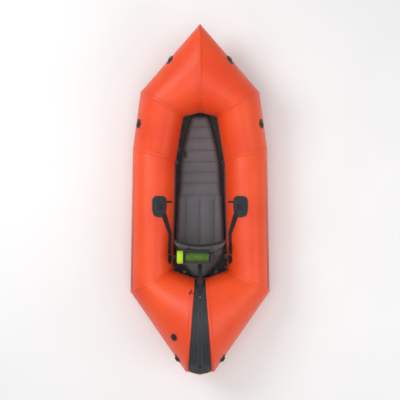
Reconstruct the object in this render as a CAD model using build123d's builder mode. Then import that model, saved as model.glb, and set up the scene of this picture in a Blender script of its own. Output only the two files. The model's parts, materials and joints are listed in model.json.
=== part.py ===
"""Self-bailing inflatable kayak (packraft): a ring of air tubes welded from flat
panels, a fabric floor with drain holes, an inflatable floor mat, a backrest with a
throw bag strapped to it, thigh pads, lashing points, an air valve and a cargo zip.
+X is the bow, +Y is port, +Z is up. Millimetres."""

from math import atan, cos, degrees, hypot, pi, radians, sin, sqrt
import os

from build123d import *

os.makedirs("parts", exist_ok=True)

# ---------------------------------------------------------------- sizes (mm)
length = 2240.0
beam = 912.0
bow_tip_x = length / 2
stern_tip_x = -length / 2
half_beam = beam / 2
skin = 2.0  # tube wall
layer = 1.4  # thickness of a welded-on layer: floor cover, patches
seam = 0.15  # gap between a welded-on layer and the tube
ground = layer + seam  # lowest line of the tubes, over the floor cover

tube_top = 338.0  # crest of the side tubes amidships
aft_top = 352.0
deck_radius = 388.0  # stern deck, an arc seen from the side
deck_x = -800.0
deck_z = 108.0

sheet_z = 40.0  # underside of the floor between the tubes
sheet_thick = 1.5
rise_from = 225.0  # the floor rises from here to the bow
rise = 50.0 / 435.0
hole_diameter = 18.0

mat_thick = 62.0
mat_gap = 0.4

# Plan points of the mitres: cockpit side first, outer side second.
shoulder = ((538.0, 109.0), (698.0, 385.0))
forward = ((263.0, 156.0), (330.0, 440.0))
aft = ((-457.0, 177.0), (-597.0, half_beam))
gusset = ((-505.0, 40.0), (-1096.0, 92.0))

bow_profile = [
    (bow_tip_x, 365), (1108, 402), (1076, 434), (1010, 458), (900, 475), (800, 472),
    (700, 446), (630, 392), (586, 318), (568, 240), (584, 165), (640, 103),
    (730, 74), (840, 98), (940, 147), (1020, 213), (1082, 283), (1110, 322),
]


def deck_height(x):
    """Height of the stern deck's arc."""
    return deck_z + sqrt(deck_radius**2 - (x - deck_x) ** 2)


deck_stops = (-1085, -1040, -980, -900, -800, -700, -640, -605, -575)
stern_profile = (
    [(stern_tip_x, 326), (-1109, 350)]
    + [(x, deck_height(x)) for x in deck_stops]
    + [
        (-540, 382), (-514, 320), (-505, 245), (-516, 165), (-550, 90), (-610, 38),
        (-690, 22), (-780, 38), (-876, 66), (-979, 128), (-1030, 172),
        (-1082, 232), (-1110, 280),
    ]
)


# ------------------------------------------------------------------- helpers
def export(piece, name):
    """Writes one piece under its own name."""
    piece.part.label = name
    export_step(piece.part, f"parts/{name}.step")


def both_sides(build, name):
    """Writes a port piece and its starboard twin."""
    export(build, f"{name}_port")
    with BuildPart() as twin:
        mirror(build.part, about=Plane.XZ)
    export(twin, f"{name}_starboard")


def pair(build, name):
    """Writes a port piece and its starboard twin as one node."""
    with BuildPart() as twins:
        add(build.part)
        mirror(build.part, about=Plane.XZ)
    export(twins, name)


def station(inner, outer):
    """Upright plane across the tube: x away from the cockpit, y up."""
    run = Vector(outer[0] - inner[0], outer[1] - inner[1], 0)
    return Plane(
        origin=(inner[0], inner[1], 0), x_dir=run, z_dir=run.cross(Vector(0, 0, 1))
    )


def oval(mitre, low, high, count=16):
    """Oval section filling a mitre, anticlockwise from its outer point."""
    width = hypot(mitre[1][0] - mitre[0][0], mitre[1][1] - mitre[0][1])
    turns = [2 * pi * i / count for i in range(count)]
    middle = (low + high) / 2
    reach = (high - low) / 2
    return [(width / 2 * (1 + cos(a)), middle + reach * sin(a)) for a in turns]


def along(points, mitre, tip_x):
    """Lengthwise profile laid into a mitre, its tip drawn in to tip_x."""
    start = mitre[0][0]
    run = mitre[1][0] - start
    slant = hypot(run, mitre[1][1] - mitre[0][1]) / abs(run)
    last = points[0][0]
    bend = last + 60.0 if last < 0 else last
    share = (tip_x - bend) / (last - bend) if last != bend else 1.0
    laid = []
    for x, z in points:
        x = bend + (x - bend) * share if last < 0 and x < bend else x
        laid.append((abs(x - start) * slant, z))
    return laid


def grown(points, by):
    """A closed outline moved outwards along its normals."""
    moved = []
    for i, (x, y) in enumerate(points):
        before = points[i - 1]
        after = points[(i + 1) % len(points)]
        run_x = after[0] - before[0]
        run_y = after[1] - before[1]
        size = hypot(run_x, run_y)
        moved.append((x + by * run_y / size, y - by * run_x / size))
    return moved


def tube(stations, by=0.0):
    """Solid between stations, straight from each one to the next."""
    with BuildPart() as body:
        for plane, points in stations:
            ring = grown(points, by)
            if stations[0] in (at_bow, at_shoulder):  # seam line on the cockpit side
                half = len(ring) // 2
                ring = ring[half:] + ring[:half]
            with BuildSketch(plane):
                with BuildLine():
                    Spline(*ring, periodic=True)
                make_face()
        loft(ruled=True)
    return body.part


def flipped(stations):
    """The starboard twin of port stations, in the opposite order."""
    turned = []
    for plane, points in reversed(stations):
        origin = (plane.origin.X, -plane.origin.Y, 0)
        x_dir = Vector(plane.x_dir.X, -plane.x_dir.Y, 0)
        twin = Plane(origin=origin, x_dir=x_dir, z_dir=x_dir.cross(Vector(0, 0, 1)))
        turned.append((twin, points))
    return turned


def seat(body, guess, heading):
    """Plane on a body's surface next to a point, z out of it, x towards heading."""
    near = body.closest_points(Vertex(*guess))[0]
    face = min(body.faces(), key=lambda f: f.distance_to(Vertex(*near)))
    normal = face.normal_at(near)
    return Plane(origin=near, x_dir=heading, z_dir=normal)


def hugging(body_outer, body_inner, plane, points, reach, corner=0.0):
    """Layer that follows a tube's surface inside an outline drawn on a plane."""
    with BuildPart() as piece:
        with BuildSketch(plane) as shape:
            Polygon(*points, align=None)
            if corner:
                fillet(shape.vertices(), radius=corner)
        extrude(amount=reach, both=True)
        add(body_outer, mode=Mode.INTERSECT)
        add(body_inner, mode=Mode.SUBTRACT)
    return piece


# ------------------------------------------------------------- air tube ring
bow_line = ((568.0, 0.0), (bow_tip_x, 0.0))
stern_line = ((-505.0, 0.0), (stern_tip_x, 0.0))

at_bow = (station(*bow_line), along(bow_profile, bow_line, bow_tip_x))
at_shoulder = (station(*shoulder), oval(shoulder, 50, 423))
at_forward = (station(*forward), oval(forward, ground, tube_top))
at_aft = (station(*aft), oval(aft, ground, aft_top))
at_gusset = (station(*gusset), along(stern_profile, gusset, gusset[1][0]))
at_stern = (station(*stern_line), along(stern_profile, stern_line, stern_tip_x))

panels = {
    "bow_tube": [at_bow, at_shoulder],
    "forward_tube": [at_shoulder, at_forward],
    "side_tube": [at_forward, at_aft],
    "stern_tube": [at_aft, at_gusset],
}
gusset_stations = [at_gusset, at_stern] + flipped([at_gusset])

solid = {name: tube(stations) for name, stations in panels.items()}
hollow = {name: tube(stations, -skin) for name, stations in panels.items()}
solid["stern_gusset"] = tube(gusset_stations)
hollow["stern_gusset"] = tube(gusset_stations, -skin)
under = {name: tube(stations, seam) for name, stations in panels.items()}
over = {name: tube(stations, seam + layer) for name, stations in panels.items()}
under["stern_gusset"] = tube(gusset_stations, seam)
over["stern_gusset"] = tube(gusset_stations, seam + layer)

valve_seat = seat(solid["stern_tube"], (-868, 172, 430), (1, 0, 0))
valve_bore = 36.6

for name in ("bow_tube", "forward_tube", "side_tube"):
    with BuildPart() as panel:
        add(solid[name])
        add(hollow[name], mode=Mode.SUBTRACT)
    both_sides(panel, name)

with BuildPart() as stern_tube_port:
    add(solid["stern_tube"])
    add(hollow["stern_tube"], mode=Mode.SUBTRACT)
    with Locations(valve_seat):
        Cylinder(valve_bore / 2, 40, mode=Mode.SUBTRACT)
export(stern_tube_port, "stern_tube_port")

with BuildPart() as stern_wall:
    add(solid["stern_tube"])
    add(hollow["stern_tube"], mode=Mode.SUBTRACT)
with BuildPart() as stern_tube_starboard:
    mirror(stern_wall.part, about=Plane.XZ)
export(stern_tube_starboard, "stern_tube_starboard")

with BuildPart() as stern_gusset:
    add(solid["stern_gusset"])
    add(hollow["stern_gusset"], mode=Mode.SUBTRACT)
export(stern_gusset, "stern_gusset")

# --------------------------------------------- floor cover with drain holes
cover_plan = [
    (896, 0), (679, 344), (303, 400), (-558, 414), (-828, 66),
    (-828, -66), (-558, -414), (303, -400), (679, -344),
]
well_plan = [
    (682, 0), (570, 170), (0, 213), (-465, 229), (-597, 40),
    (-597, -40), (-465, -229), (0, -213), (570, -170),
]
hole_spots = [
    (523, 118), (433, 130), (341, 145), (251, 157),
    (-376, 172), (-449, 176), (-479, 105),
]
hole_spots = hole_spots + [(x, -y) for x, y in hole_spots]


def sheet_height(x):
    """Underside of the floor between the tubes."""
    return sheet_z + max(0.0, x - rise_from) * rise


def under_wall(body_outer, body_inner):
    """Layer round a tube's underside, from the outer line to the floor well."""
    with BuildPart() as wrap:
        with BuildSketch(Plane.XY):
            Polygon(*cover_plan, align=None)
        extrude(amount=200)
        with BuildSketch(Plane.XY):
            Polygon(*well_plan, align=None)
        extrude(amount=200, mode=Mode.SUBTRACT)
        add(body_outer, mode=Mode.INTERSECT)
        add(body_inner, mode=Mode.SUBTRACT)
    return wrap.part


def layer_over_floor(low, high, ends, plan):
    """Layer that follows the floor, between two heights over its underside."""
    xs = (ends[0], rise_from, ends[1])
    lower = [(x, sheet_height(x) + low) for x in xs]
    upper = [(x, sheet_height(x) + high) for x in reversed(xs)]
    with BuildPart() as slab:
        with BuildSketch(Plane.XZ):
            Polygon(*(lower + upper), align=None)
        extrude(amount=half_beam, both=True)
        with BuildSketch(Plane.XY):
            Polygon(*plan, align=None)
        extrude(amount=400, mode=Mode.INTERSECT)
    return slab.part


well_edge = [(x * 1.012, y * 1.03) for x, y in well_plan]
with BuildPart() as floor_sheet:
    add(layer_over_floor(0.0, sheet_thick, (-640, 720), well_edge))
    for name in solid:
        add(over[name], mode=Mode.SUBTRACT)
        if name != "stern_gusset":
            mirror(over[name], about=Plane.XZ, mode=Mode.SUBTRACT)
    with Locations([(x, y, sheet_height(x)) for x, y in hole_spots]):
        Cylinder(hole_diameter / 2, 30, mode=Mode.SUBTRACT)
export(floor_sheet, "floor_sheet")

for name in ("forward_tube", "side_tube", "stern_tube"):
    with BuildPart() as cover_side:
        add(under_wall(over[name], solid[name]))
    pair(cover_side, name.replace("tube", "cover"))
with BuildPart() as bow_cover:
    bow_wrap = under_wall(over["bow_tube"], solid["bow_tube"])
    add(bow_wrap)
    mirror(bow_wrap, about=Plane.XZ)
export(bow_cover, "bow_cover")
with BuildPart() as gusset_cover:
    add(under_wall(over["stern_gusset"], solid["stern_gusset"]))
export(gusset_cover, "gusset_cover")

slope = degrees(atan(rise))
with BuildPart() as drain_rings:
    for x, y in hole_spots:
        tilt = -slope if x > rise_from else 0.0
        spot = Location((x, y, sheet_height(x) + sheet_thick + 0.15), (0, tilt, 0))
        with Locations(spot):
            Cylinder(16.0, 1.0, align=(Align.CENTER, Align.CENTER, Align.MIN))
            Cylinder(10.0, 3.0, mode=Mode.SUBTRACT)
export(drain_rings, "drain_rings")

# ------------------------------------------------------- inflatable floor mat
mat_half = [
    (556, 40), (545, 54), (467, 78), (333, 111), (230, 129), (60, 136),
    (20, 146), (-250, 160), (-350, 160), (-425, 118), (-512, 36),
]
mat_plan = mat_half + [(x, -y) for x, y in reversed(mat_half)]
mat_low = sheet_thick + mat_gap
with BuildPart() as floor_mat:
    add(layer_over_floor(mat_low, mat_low + mat_thick, (-520, 560), mat_plan))
    fillet(floor_mat.edges().filter_by(Axis.Z), radius=14)
    core = layer_over_floor(
        mat_low + skin, mat_low + mat_thick - skin, (-517, 557),
        [(x * 0.985, y * 0.98) for x, y in mat_plan],
    )
    add(core, mode=Mode.SUBTRACT)
export(floor_mat, "floor_mat")
mat_top = sheet_z + mat_low + mat_thick

# Inflation tube of the mat, lying along its port edge, with a twist cap.
tube_x = 300.0
tube_y = 96.0
tube_r = 9.0
tube_plane = Plane(
    origin=(tube_x, tube_y, sheet_height(tube_x) + mat_low + mat_thick + tube_r + 0.3),
    x_dir=(0, 1, 0),
    z_dir=(cos(radians(slope)), 0, sin(radians(slope))),
)
with BuildPart() as mat_valve:
    with BuildSketch(tube_plane.offset(-20)):
        Circle(tube_r)
    extrude(amount=26)
    with BuildSketch(tube_plane.offset(6)):
        Circle(6.4)
    extrude(amount=9)
    with BuildSketch(tube_plane.offset(-14)):
        Circle(4.0)
    extrude(amount=40, mode=Mode.SUBTRACT)
export(mat_valve, "mat_valve")

with BuildPart() as mat_valve_cap:
    with BuildSketch(tube_plane.offset(6.3)) as cap_round:
        Circle(tube_r - 0.2)
        with PolarLocations(tube_r - 0.2, 12):
            Circle(0.8, mode=Mode.SUBTRACT)
    extrude(amount=13)
    with BuildSketch(tube_plane.offset(6.3)):
        Circle(6.6)
    extrude(amount=9.5, mode=Mode.SUBTRACT)
export(mat_valve_cap, "mat_valve_cap")

# ------------------------------------------------------------------ cargo zip
zip_plan = [
    (-500, 33), (-1082, 75), (-1104, 40), (-1108, 0),
    (-1104, -40), (-1082, -75), (-500, -33),
]
zip_panel = hugging(
    over["stern_gusset"], under["stern_gusset"], Plane.XY.offset(400), zip_plan, 112
)
export(zip_panel, "zip_panel")

chain_low = deck_radius + seam + layer + 0.2
chain_high = chain_low + 2.1
chain_half = 3.6
chain_front = 30.4  # degrees forward of the crest
chain_back = -40.0
tooth_pitch = 0.74  # degrees


def on_deck(turn, radius):
    """Plane on the deck's arc, x forward along it, z straight out."""
    a = radians(turn)
    return Plane(
        origin=(deck_x + radius * sin(a), 0, deck_z + radius * cos(a)),
        x_dir=(cos(a), 0, -sin(a)),
        z_dir=(sin(a), 0, cos(a)),
    )


chain_span = chain_front - chain_back
teeth = int(chain_span / tooth_pitch)
with BuildPart() as zip_chain:
    with BuildSketch(Plane.XZ.move(Location((deck_x, 0, deck_z)))):
        with BuildLine():
            inner_arc = CenterArc((0, 0), chain_low, 90 - chain_front, chain_span)
            outer_arc = CenterArc((0, 0), chain_low + 1.1, 90 - chain_front, chain_span)
            Line(inner_arc @ 0, outer_arc @ 0)
            Line(inner_arc @ 1, outer_arc @ 1)
        make_face()
        with PolarLocations(
            chain_high - 1.0, teeth, start_angle=90.4 - chain_front,
            angular_range=chain_span - 0.8, endpoint=True,
        ):
            Rectangle(2.0, 3.0)
    extrude(amount=chain_half, both=True)
export(zip_chain, "zip_chain")

with BuildPart() as zip_stops:
    for turn in (chain_front + 1.25, chain_back - 1.25):
        with BuildSketch(on_deck(turn, chain_low + 0.2)) as foot:
            Rectangle(13, 17)
            fillet(foot.vertices(), radius=4)
        extrude(amount=5)
export(zip_stops, "zip_stops")

slider_turn = 28.4
slider_travel = 66.5
slider_plane = on_deck(slider_turn, chain_low)
with BuildPart() as zip_slider:
    with BuildSketch(slider_plane.offset(0.35)) as plate:
        Rectangle(15, 13)
        fillet(plate.vertices(), radius=3)
    extrude(amount=6.4)
    with BuildSketch(slider_plane.offset(0.2)):
        Rectangle(30, 2 * chain_half + 0.9)
    extrude(amount=2.6, mode=Mode.SUBTRACT)
    with BuildSketch(slider_plane.offset(6)):
        Circle(2.4)
    extrude(amount=6.6)
    with BuildSketch(slider_plane.offset(12.2)):
        Circle(4.2)
    extrude(amount=1.5)
export(zip_slider, "zip_slider")

pull_turn = 58.0
pull_reach = 72.0
a = radians(pull_turn)
pull_x = slider_plane.x_dir * cos(a) + slider_plane.y_dir * sin(a)
pull_plane = Plane(origin=slider_plane.origin, x_dir=pull_x, z_dir=slider_plane.z_dir)
stem_start = pull_plane.from_local_coords(Vector(4.0, 0, 9.6))
stem_end = pull_plane.from_local_coords(Vector(pull_reach, 0, 6.0))
stem_way = stem_end - stem_start
with BuildPart() as zip_pull:
    with BuildSketch(Plane(origin=stem_start, z_dir=stem_way)):
        Circle(1.9)
    extrude(amount=stem_way.length)
    bar_plane = Plane(
        origin=stem_end - pull_plane.y_dir * 17, z_dir=pull_plane.y_dir
    )
    with BuildSketch(bar_plane):
        Circle(4.0)
    extrude(amount=34)
    fillet(zip_pull.edges().filter_by(GeomType.CIRCLE).group_by(SortBy.RADIUS)[-1], 2.0)
    with BuildSketch(pull_plane.offset(7.4)):
        Circle(5.4)
    extrude(amount=4.2)
    with BuildSketch(pull_plane.offset(7)):
        Circle(2.7)
    extrude(amount=6, mode=Mode.SUBTRACT)
export(zip_pull, "zip_pull")

# ------------------------------------------------------------------ air valve
with BuildPart() as valve_base:
    with BuildSketch(valve_seat.offset(-2)) as rim:
        Circle(23)
    extrude(amount=5.6)
    add(under["stern_tube"], mode=Mode.SUBTRACT)
    with BuildSketch(valve_seat.offset(-22)):
        Circle(18)
    extrude(amount=25)
    with BuildSketch(valve_seat.offset(-22)):
        Circle(13.5)
    extrude(amount=40, mode=Mode.SUBTRACT)
    with BuildSketch(valve_seat.offset(-13)):
        Rectangle(29, 3.6)
        Rectangle(3.6, 29)
        Circle(4.6)
    extrude(amount=3)
    with BuildSketch(valve_seat.offset(-14)):
        Circle(2.05)
    extrude(amount=6, mode=Mode.SUBTRACT)
export(valve_base, "valve_base")

with BuildPart() as valve_poppet:
    with BuildSketch(valve_seat.offset(-24.2)):
        Circle(16.2)
    extrude(amount=2)
    with BuildSketch(valve_seat.offset(-22.4)):
        Circle(2.0)
    extrude(amount=19)
    with BuildSketch(valve_seat.offset(-4.6)):
        Circle(5)
    extrude(amount=2)
export(valve_poppet, "valve_poppet")

with BuildPart() as valve_cap:
    with BuildSketch(valve_seat.offset(3.9)):
        Circle(21)
    extrude(amount=4.2)
    with BuildSketch(valve_seat.offset(-1.2)):
        Circle(13.3)
    extrude(amount=5.4)
    with BuildSketch(valve_seat.offset(8.0)) as grip:
        Rectangle(30, 6)
        fillet(grip.vertices(), radius=2.9)
    extrude(amount=6)
export(valve_cap, "valve_cap")

# ------------------------------------------------- backrest and its strap
lean = radians(15)
back_pad = 27.0
back_radius = 345.0
back_high = 296.0
back_foot = Vector(-352, 0, 113)
back_plane = Plane(
    origin=back_foot,
    x_dir=(cos(lean), 0, -sin(lean)),
    z_dir=(sin(lean), 0, cos(lean)),
)
face_plane = Plane(
    origin=back_foot,
    x_dir=(0, 1, 0),
    z_dir=(cos(lean), 0, -sin(lean)),
)
back_shape = [
    (-58, 0), (58, 0), (128, 92), (160, 176), (166, 252), (150, 282),
    (60, back_high), (-60, back_high), (-150, 282), (-166, 252), (-160, 176), (-128, 92),
]


def curved_band(near, far):
    """Upright band curved forward at its wings, between two depths."""
    with BuildPart() as band:
        with BuildSketch(back_plane) as plan:
            with Locations((back_radius, 0)):
                Circle(back_radius + far)
                Circle(back_radius + near, mode=Mode.SUBTRACT)
        extrude(amount=back_high + 20)
    return band.part


def back_piece(near, far, shapes):
    """Piece of the backrest cut to outlines drawn on its face."""
    with BuildPart() as piece:
        for shape, how in shapes:
            with BuildSketch(face_plane.offset(-90)) as drawn:
                Polygon(*shape, align=None)
                fillet(drawn.vertices(), radius=9)
            extrude(amount=200, mode=how)
        add(curved_band(near, far), mode=Mode.INTERSECT)
    return piece


def inset(shape, by):
    """The backrest's outline drawn in by a distance."""
    return [
        (x - by * (1 if x > 0 else -1), y + (by if y < 150 else -by)) for x, y in shape
    ]


backrest = back_piece(0.0, back_pad, [(inset(back_shape, 4.4), Mode.ADD)])
export(backrest, "backrest")
backrest_piping = back_piece(
    6.0, back_pad - 6.0,
    [(back_shape, Mode.ADD), (inset(back_shape, 4.1), Mode.SUBTRACT)],
)
export(backrest_piping, "backrest_piping")

with BuildPart() as backrest_flap:
    with BuildSketch(Plane.XY.offset(mat_top + 0.2)) as flap:
        with Locations((back_foot.X + 26, 0)):
            Rectangle(56, 112)
        fillet(flap.vertices(), radius=10)
    extrude(amount=1.4)
export(backrest_flap, "backrest_flap")

# Strap from the back of the backrest up to a buckle on the stern deck.
strap_half = 12.5
strap_low = Vector(-345.0, 0, 254.0)
bar_near = Vector(-509.0, 0, 373.0)
bar_far = Vector(-533.0, 0, 391.5)
bar_radius = 1.9


def across(points, half_width):
    """Plate drawn lengthwise and upright, as wide as twice half_width."""
    with BuildPart() as plate:
        with BuildSketch(Plane.XZ):
            Polygon(*[(p.X, p.Z) for p in points], align=None)
        extrude(amount=half_width, both=True)
    return plate.part


def rod(at, radius, half_width):
    """Round bar across the boat."""
    with BuildPart() as bar:
        with BuildSketch(Plane.XZ):
            with Locations((at.X, at.Z)):
                Circle(radius)
        extrude(amount=half_width, both=True)
    return bar.part


strap_way = (bar_near - strap_low).normalized()
strap_up = Vector(-strap_way.Z, 0, strap_way.X) * -1
strap_end = bar_near - strap_way * 2.0
with BuildPart() as back_strap:
    low_edge = strap_up * 2.9
    high_edge = strap_up * 4.4
    add(across(
        [strap_low + low_edge, strap_end + low_edge, strap_end + high_edge,
         strap_low + high_edge], strap_half,
    ))
    add(rod(bar_near, 4.4, strap_half))
    add(rod(bar_near, 2.2, strap_half + 1), mode=Mode.SUBTRACT)
    add(curved_band(-60, back_pad + 0.3), mode=Mode.SUBTRACT)
export(back_strap, "back_strap")

buckle_way = (bar_far - bar_near).normalized()
buckle_up = Vector(-buckle_way.Z, 0, buckle_way.X)
buckle_mid = (bar_near + bar_far) * 0.5
buckle_plane = Plane(origin=buckle_mid, x_dir=buckle_way, z_dir=buckle_up)
bar_gap = (bar_far - bar_near).length
with BuildPart() as back_buckle:
    with BuildSketch(buckle_plane) as frame:
        Rectangle(bar_gap + 12, 37)
        fillet(frame.vertices(), radius=4)
        with GridLocations(bar_gap, 1, 2, 1):
            Rectangle(9.6, 28, mode=Mode.SUBTRACT)
    extrude(amount=2.6, both=True)
    for at in (bar_near, bar_far):
        add(rod(at, bar_radius, 15))
    with BuildSketch(buckle_plane.offset(-2.2)):
        Rectangle(4.4, 30)
    extrude(amount=6.4)
export(back_buckle, "back_buckle")

gusset_over = tube(gusset_stations, seam + layer + 0.15)
gusset_tape = tube(gusset_stations, seam + layer + 1.75)
tape_plan = [(-556, -11.5), (-556, 11.5), (-584, 11.5), (-584, -11.5)]
with BuildPart() as deck_anchor:
    with BuildSketch(Plane.XY.offset(400)):
        Polygon(*tape_plan, align=None)
    extrude(amount=60, both=True)
    add(gusset_tape, mode=Mode.INTERSECT)
    link = [
        bar_far - buckle_up * 2.9, bar_far + buckle_way * 8 - buckle_up * 2.9,
        Vector(-560, 0, 404), Vector(-574, 0, 418), Vector(-572, 0, 425),
        bar_far + buckle_way * 8 - buckle_up * 4.6, bar_far - buckle_up * 4.6,
    ]
    add(across(link, 11.5))
    add(rod(bar_far, 4.6, 11.5))
    add(rod(bar_far, 2.2, 14), mode=Mode.SUBTRACT)
    add(gusset_over, mode=Mode.SUBTRACT)
export(deck_anchor, "deck_anchor")

# ------------------------------------------------------------------ throw bag
bag_x = -364.5
bag_z = 348.0
bag_radius = 43.0
bag_right = -64.0
bag_left = 148.0
pocket_left = 108.0
pocket_wall = 1.4


def crosswise(y):
    """Plane square to the bag's axis, facing port."""
    return Plane(origin=(bag_x, y, bag_z), x_dir=(-1, 0, 0), z_dir=(0, 1, 0))


with BuildPart() as throw_bag:
    with BuildSketch(crosswise(bag_right)):
        Circle(bag_radius)
    extrude(amount=bag_left - bag_right)
    fillet(throw_bag.edges().filter_by(GeomType.CIRCLE), radius=9)
export(throw_bag, "throw_bag")

with BuildPart() as bag_pocket:
    with BuildSketch(crosswise(bag_right - 4.0)):
        Circle(bag_radius + 0.3 + pocket_wall)
    extrude(amount=pocket_left - bag_right + 4.0)
    fillet(bag_pocket.edges().filter_by(GeomType.CIRCLE).sort_by(Axis.Y)[0], radius=3)
    with BuildSketch(crosswise(bag_right - 1.6)):
        Circle(bag_radius + 0.3)
    extrude(amount=pocket_left - bag_right + 5, mode=Mode.SUBTRACT)

    with BuildSketch(Plane.XY.offset(bag_z + 18)) as window:
        with Locations((bag_x, (pocket_left + bag_right) / 2 - 4)):
            Rectangle(58, pocket_left - bag_right - 26)
        fillet(window.vertices(), radius=10)
    extrude(amount=60, mode=Mode.SUBTRACT)
export(bag_pocket, "bag_pocket")

# Mesh that closes the window of the pocket.
with BuildPart() as pocket_mesh:
    with BuildSketch(crosswise(bag_right + 8)):
        Circle(bag_radius + 0.3 + 0.9)
        Circle(bag_radius + 0.3, mode=Mode.SUBTRACT)
    extrude(amount=pocket_left - bag_right - 16)
    with BuildSketch(Plane.XY.offset(bag_z + 18)) as patch:
        with Locations((bag_x, (pocket_left + bag_right) / 2 - 4)):
            Rectangle(57.4, pocket_left - bag_right - 26.6)
        fillet(patch.vertices(), radius=9.7)
    extrude(amount=60, mode=Mode.INTERSECT)
export(pocket_mesh, "pocket_mesh")

rim_inner = bag_radius + 0.45 + pocket_wall
with BuildPart() as pocket_rim:
    with BuildSketch(crosswise(pocket_left - 9)):
        Circle(rim_inner + 2.2)
        Circle(rim_inner, mode=Mode.SUBTRACT)
    extrude(amount=9)
    add(curved_band(-60, back_pad + 0.3), mode=Mode.SUBTRACT)
export(pocket_rim, "pocket_rim")

# Webbing crossed over the bag's free end, with a cord lock in the middle.
with BuildPart() as bag_cross:
    with BuildSketch(crosswise(bag_left + 0.2)) as cross:
        with PolarLocations(0, 2, start_angle=35, angular_range=180):
            Rectangle(2 * bag_radius - 22, 12)
    extrude(amount=1.5)
export(bag_cross, "bag_cross")
with BuildPart() as bag_lock:
    with BuildSketch(crosswise(bag_left + 1.9)):
        Circle(8.5)
    extrude(amount=9)
    fillet(bag_lock.edges().filter_by(GeomType.CIRCLE).sort_by(Axis.Y)[-1], radius=3)
export(bag_lock, "bag_lock")

# ------------------------------------------------------- thigh pads and straps
wall = solid["side_tube"]
wall_under = under["side_tube"]
wall_over = over["side_tube"]
pad_low = tube(panels["side_tube"], 1.2)
pad_high = tube(panels["side_tube"], 9.2)
web_high = tube(panels["side_tube"], 3.0)
above = Plane.XY.offset(260)

strip_shape = [(-236, 152), (254, 152), (254, 212), (-236, 212)]
thigh_strip = hugging(
    wall_over, wall_under,
    Plane(origin=(0, 170, 0), x_dir=(1, 0, 0), z_dir=(0, -1, 0)),
    strip_shape, 26, 24,
)
both_sides(thigh_strip, "thigh_strip")

pad_plan = [
    (26, 232), (26, 284), (8, 304), (-62, 306), (-100, 296),
    (-112, 266), (-108, 224), (-40, 216), (8, 217),
]
thigh_pad = hugging(pad_high, pad_low, above, pad_plan, 110, 9)
both_sides(thigh_pad, "thigh_pad")

web_plan = [
    (-96.2, 212.5), (-112.4, 240), (-222, 201), (-350, 206), (-350, 187), (-214, 181.5),
]
front_plan = [(-6, 216), (-18, 215.6), (-18, 180), (-6, 180)]
with BuildPart() as thigh_web:
    with BuildSketch(above):
        Polygon(*web_plan, align=None)
        Polygon(*front_plan, align=None)
    extrude(amount=110, both=True)
    add(web_high, mode=Mode.INTERSECT)
    add(pad_low, mode=Mode.SUBTRACT)
    add(thigh_pad.part, mode=Mode.SUBTRACT)
both_sides(thigh_web, "thigh_web")

# ----------------------------------------- lashing patches, tabs and D-rings
pentagon = [(-33, 0), (-8, -31), (29, -24), (29, 24), (-8, 31)]
lashings = [
    ("bow", "bow_tube", (891, 190, 352), (-0.9, 0.42, 0), 4),
    ("mid", "forward_tube", (490, 382, 285), (1, 0, 0), 4),
    ("stern", "stern_tube", (-1012, 142, 332), (0.6, -0.5, 0.6), 6),
    ("thigh", "side_tube", (-385, 196, 262), (1, 0, 0), 4),
]
ring_lift = 5.4
ring_wire = 2.1
ring_half = 16.5
for place, panel, guess, heading, corner in lashings:
    spot = seat(solid[panel], guess, (1, 0, 0))
    towards = Vector(*heading)
    flat = towards - spot.z_dir * towards.dot(spot.z_dir)
    spot = Plane(origin=spot.origin, x_dir=flat, z_dir=spot.z_dir)
    patch = hugging(over[panel], under[panel], spot, pentagon, 16, corner)
    pair(patch, f"{place}_patches")
    if place == "thigh":
        continue
    with BuildPart() as ring_tab:
        with BuildSketch(spot) as sole:
            Rectangle(36, 22)
            fillet(sole.vertices(), radius=2)
        extrude(amount=9, both=True)
        add(tube(panels[panel], seam + layer + 1.7), mode=Mode.INTERSECT)
        with BuildSketch(Plane(origin=spot.origin, x_dir=spot.x_dir, z_dir=spot.y_dir)):
            with Locations((0, -ring_lift)):
                Circle(ring_wire + 2.0)
            with Locations((0, -ring_lift / 2)):
                Rectangle(2 * ring_wire + 4.0, ring_lift)
        extrude(amount=11, both=True)
        with BuildSketch(Plane(origin=spot.origin, x_dir=spot.x_dir, z_dir=spot.y_dir)):
            with Locations((0, -ring_lift)):
                Circle(ring_wire + 0.35)
        extrude(amount=12, both=True, mode=Mode.SUBTRACT)
        add(tube(panels[panel], seam + layer + 0.1), mode=Mode.SUBTRACT)
    pair(ring_tab, f"{place}_tabs")
    with BuildPart() as ring:
        with BuildLine(spot.offset(ring_lift)) as wire:
            FilletPolyline(
                (0, ring_half), (-13, ring_half), (-25, 8),
                (-25, -8), (-13, -ring_half), (0, -ring_half),
                close=True, radius=4.5,
            )
        with BuildSketch(Plane(origin=wire.line @ 0, z_dir=wire.line % 0)):
            Circle(ring_wire)
        sweep()
    both_sides(ring, f"{place}_ring")
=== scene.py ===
"""Looks of the inflatable kayak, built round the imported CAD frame. Metres."""
import json
import math

import bmesh
import bpy
import numpy as np
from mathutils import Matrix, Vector, noise
from mathutils.bvhtree import BVHTree

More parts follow.
